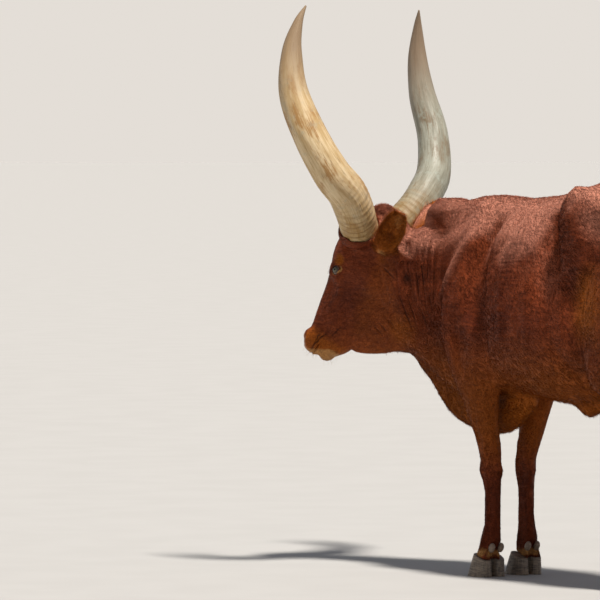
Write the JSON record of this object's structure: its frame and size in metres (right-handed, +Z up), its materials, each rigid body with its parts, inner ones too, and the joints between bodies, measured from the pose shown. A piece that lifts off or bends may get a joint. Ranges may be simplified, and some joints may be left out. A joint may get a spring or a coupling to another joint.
{
  "type": "ankole-watusi zebu cattle",
  "caption": "Life-size standing long-horned sanga zebu ox, head lowered and turned left, with lyre-shaped horns, dewlap and tufted tail.",
  "frame": {"origin": "on the floor, under the middle of the animal's overall box", "axes": "+Z up, -Y the way the body faces, +X the animal's left side"},
  "size_m": [0.9534, 2.341, 2.1685],
  "materials": {
    "coat": "short smooth mahogany-red hair",
    "switch_hair": "long coarse dark hair",
    "horn": "weathered ivory horn keratin",
    "hoof": "worn dark hoof keratin",
    "eye": "wet dark eye"
  },
  "bodies": {
    "root": {"head": "coat", "neck": "coat", "torso": "coat", "foreleg_upper_left": "coat", "foreleg_lower_left": "coat", "foreleg_upper_right": "coat", "foreleg_lower_right": "coat", "hindleg_upper_left": "coat", "hindleg_lower_left": "coat", "hindleg_upper_right": "coat", "hindleg_lower_right": "coat", "ear_left": "coat", "ear_right": "coat", "eye_left": "eye", "eye_right": "eye", "horn_left": "horn", "horn_right": "horn", "tail": "coat", "tail_switch": "switch_hair", "hoof_front_left_a": "hoof", "hoof_front_left_b": "hoof", "hoof_front_right_a": "hoof", "hoof_front_right_b": "hoof", "hoof_hind_left_a": "hoof", "hoof_hind_left_b": "hoof", "hoof_hind_right_a": "hoof", "hoof_hind_right_b": "hoof", "hoof_front_left_c": "hoof", "hoof_front_left_d": "hoof", "hoof_front_right_c": "hoof", "hoof_front_right_d": "hoof", "hoof_hind_left_c": "hoof", "hoof_hind_left_d": "hoof", "hoof_hind_right_c": "hoof", "hoof_hind_right_d": "hoof"}
  },
  "joints": []
}
